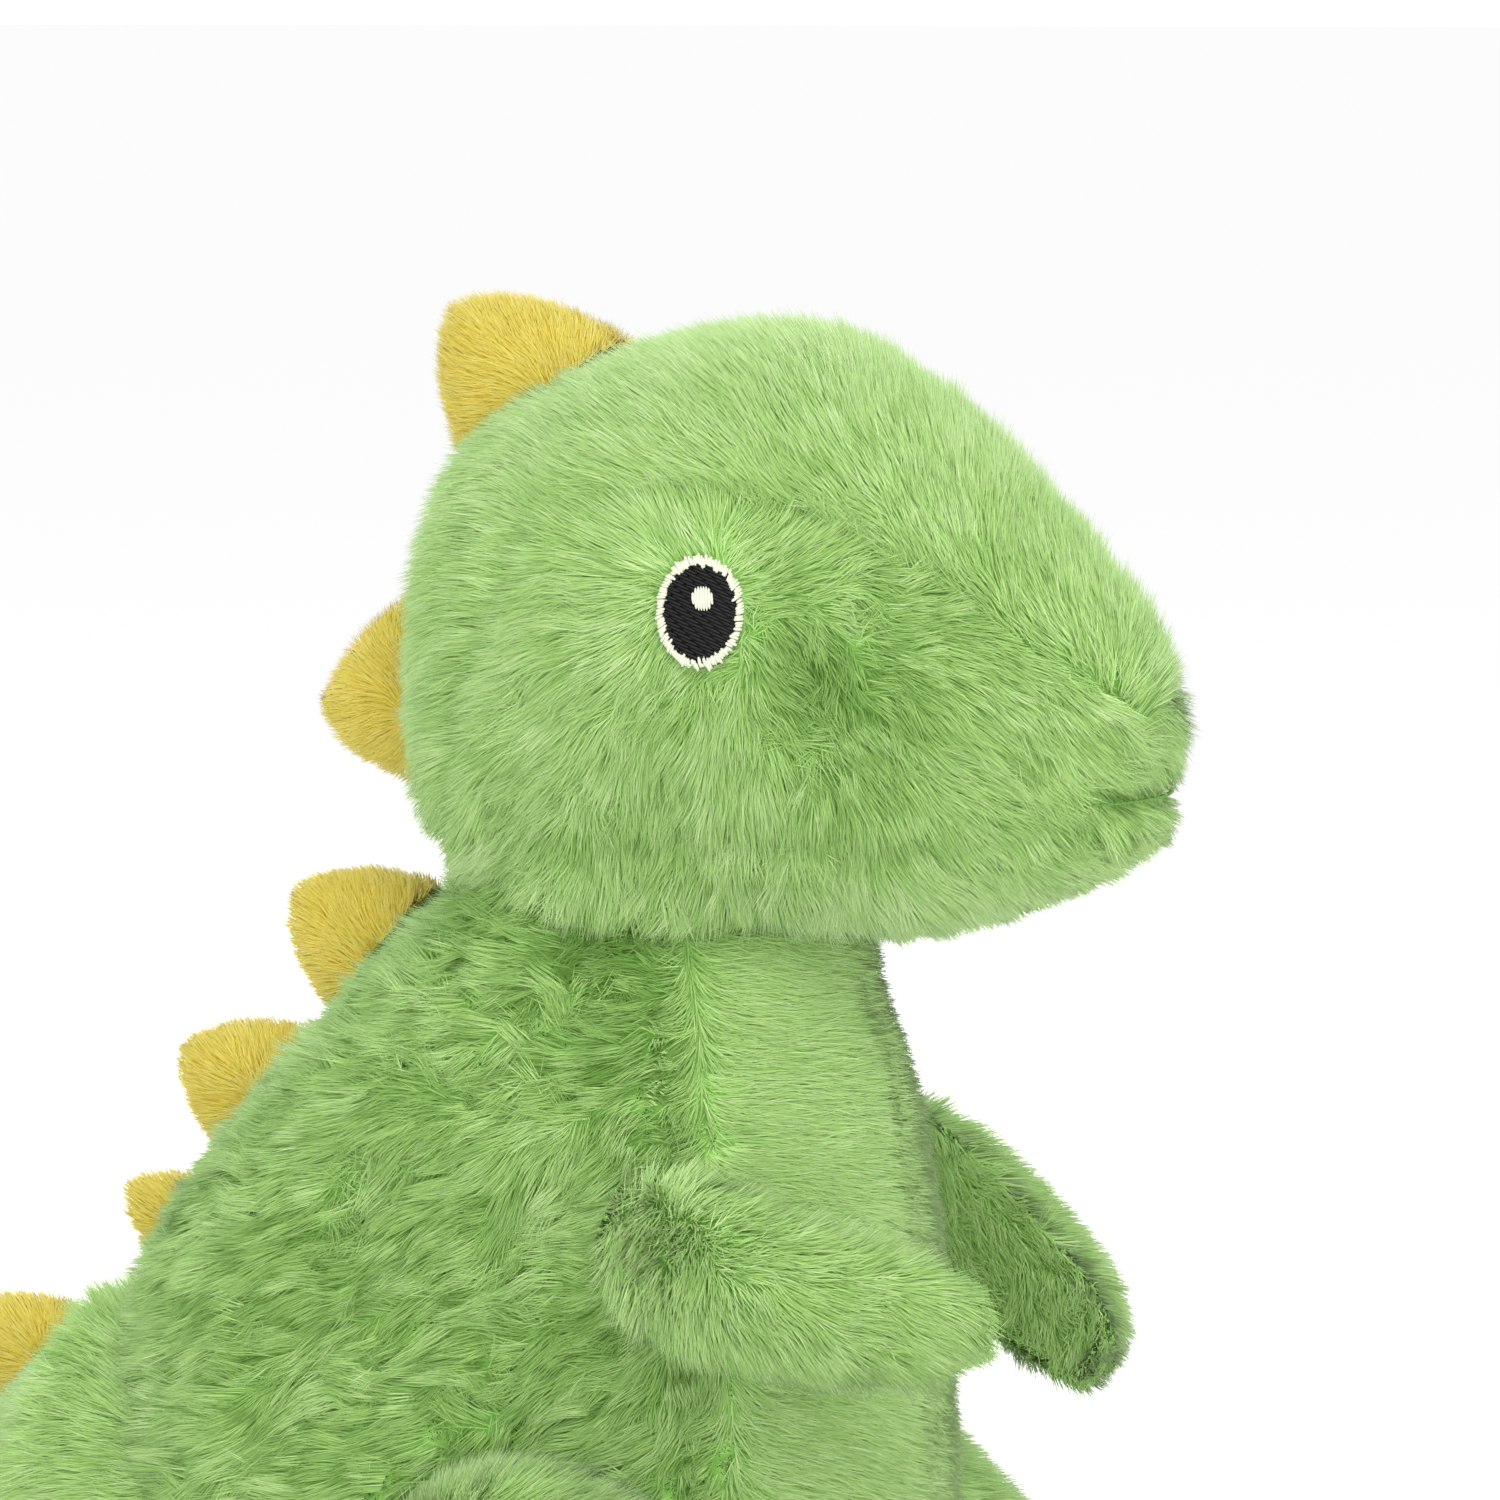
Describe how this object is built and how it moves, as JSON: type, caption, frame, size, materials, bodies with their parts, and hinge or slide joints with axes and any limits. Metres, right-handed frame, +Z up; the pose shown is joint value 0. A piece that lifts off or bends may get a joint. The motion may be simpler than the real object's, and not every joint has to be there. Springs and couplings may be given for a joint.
{
  "type": "stuffed dinosaur toy",
  "caption": "Sitting plush dinosaur with a big round-snouted head, short arms, thick tail and soft rounded spikes along its back.",
  "frame": {"origin": "centre of the flat seat panel's lower face, which rests on the floor", "axes": "+X forward along the snout, +Y to the dinosaur's left, +Z up"},
  "size_m": [0.246, 0.1656, 0.2396],
  "materials": {
    "green_plush": "light green long-pile plush",
    "yellow_plush": "yellow short-pile plush",
    "white_thread": "satin-stitched off-white embroidery thread",
    "black_thread": "satin-stitched black embroidery thread",
    "green_thread": "green sewing thread",
    "stuffing": "white polyester fibre fill",
    "pellets": "plastic pellets, as one mass",
    "pouch_cloth": "thin woven cloth",
    "label_ribbon": "blank satin ribbon"
  },
  "bodies": {
    "torso": {"body_side_right": "green_plush", "body_side_left": "green_plush", "belly_panel": "green_plush", "seat_panel": "green_plush", "body_stuffing": "stuffing", "pellet_pouch": "pouch_cloth", "pellets": "pellets", "care_label": "label_ribbon", "spike_back_1": "yellow_plush", "spike_back_2": "yellow_plush", "spike_back_3": "yellow_plush"},
    "neck": {"neck_stuffing": "stuffing", "neck_sleeve": "green_plush"},
    "head": {"head_gusset": "green_plush", "head_side_right": "green_plush", "head_side_left": "green_plush", "head_chin_panel": "green_plush", "head_stuffing": "stuffing", "eye_border_right": "white_thread", "eye_border_left": "white_thread", "eye_black_right": "black_thread", "eye_black_left": "black_thread", "eye_glint_right": "white_thread", "eye_glint_left": "white_thread", "mouth_stitch": "green_thread", "spike_crown": "yellow_plush", "spike_nape": "yellow_plush"},
    "arm_right": {"arm_outer_right": "green_plush", "arm_inner_right": "green_plush", "arm_stuffing_right": "stuffing"},
    "arm_left": {"arm_outer_left": "green_plush", "arm_inner_left": "green_plush", "arm_stuffing_left": "stuffing"},
    "leg_right": {"leg_outer_right": "green_plush", "leg_inner_right": "green_plush", "leg_sole_right": "green_plush", "leg_stuffing_right": "stuffing"},
    "leg_left": {"leg_outer_left": "green_plush", "leg_inner_left": "green_plush", "leg_sole_left": "green_plush", "leg_stuffing_left": "stuffing"},
    "tail": {"tail_side_right": "green_plush", "tail_side_left": "green_plush", "tail_stuffing": "stuffing", "spike_tail_1": "yellow_plush", "spike_tail_2": "yellow_plush", "spike_tail_3": "yellow_plush", "spike_tail_4": "yellow_plush"}
  },
  "joints": [
    {"name": "head_turn", "type": "hinge", "parent": "torso", "child": "neck", "pos_m": [0.012, 0, 0.138], "axis": [0, 0, 1], "range_deg": [-22, 22], "stiffness_Nm_per_rad": 0.15},
    {"name": "head_nod", "type": "hinge", "parent": "neck", "child": "head", "pos_m": [0.012, 0, 0.138], "axis": [0, 1, 0], "range_deg": [-4, 8], "stiffness_Nm_per_rad": 0.3},
    {"name": "arm_right_lift", "type": "hinge", "parent": "torso", "child": "arm_right", "pos_m": [0.032, -0.0406, 0.103], "axis": [0, -1, 0], "range_deg": [-18, 36], "stiffness_Nm_per_rad": 0.02},
    {"name": "arm_left_lift", "type": "hinge", "parent": "torso", "child": "arm_left", "pos_m": [0.032, 0.0406, 0.103], "axis": [0, -1, 0], "range_deg": [-3, 48], "stiffness_Nm_per_rad": 0.02},
    {"name": "leg_right_lift", "type": "hinge", "parent": "torso", "child": "leg_right", "pos_m": [0.016, -0.0466, 0.038], "axis": [0, -1, 0], "range_deg": [0, 10], "stiffness_Nm_per_rad": 0.1},
    {"name": "leg_left_lift", "type": "hinge", "parent": "torso", "child": "leg_left", "pos_m": [0.016, 0.0466, 0.038], "axis": [0, -1, 0], "range_deg": [0, 10], "stiffness_Nm_per_rad": 0.1},
    {"name": "tail_swing", "type": "hinge", "parent": "torso", "child": "tail", "pos_m": [-0.06, 0, 0.04], "axis": [0, 0, 1], "range_deg": [-12, 12], "stiffness_Nm_per_rad": 0.1}
  ]
}
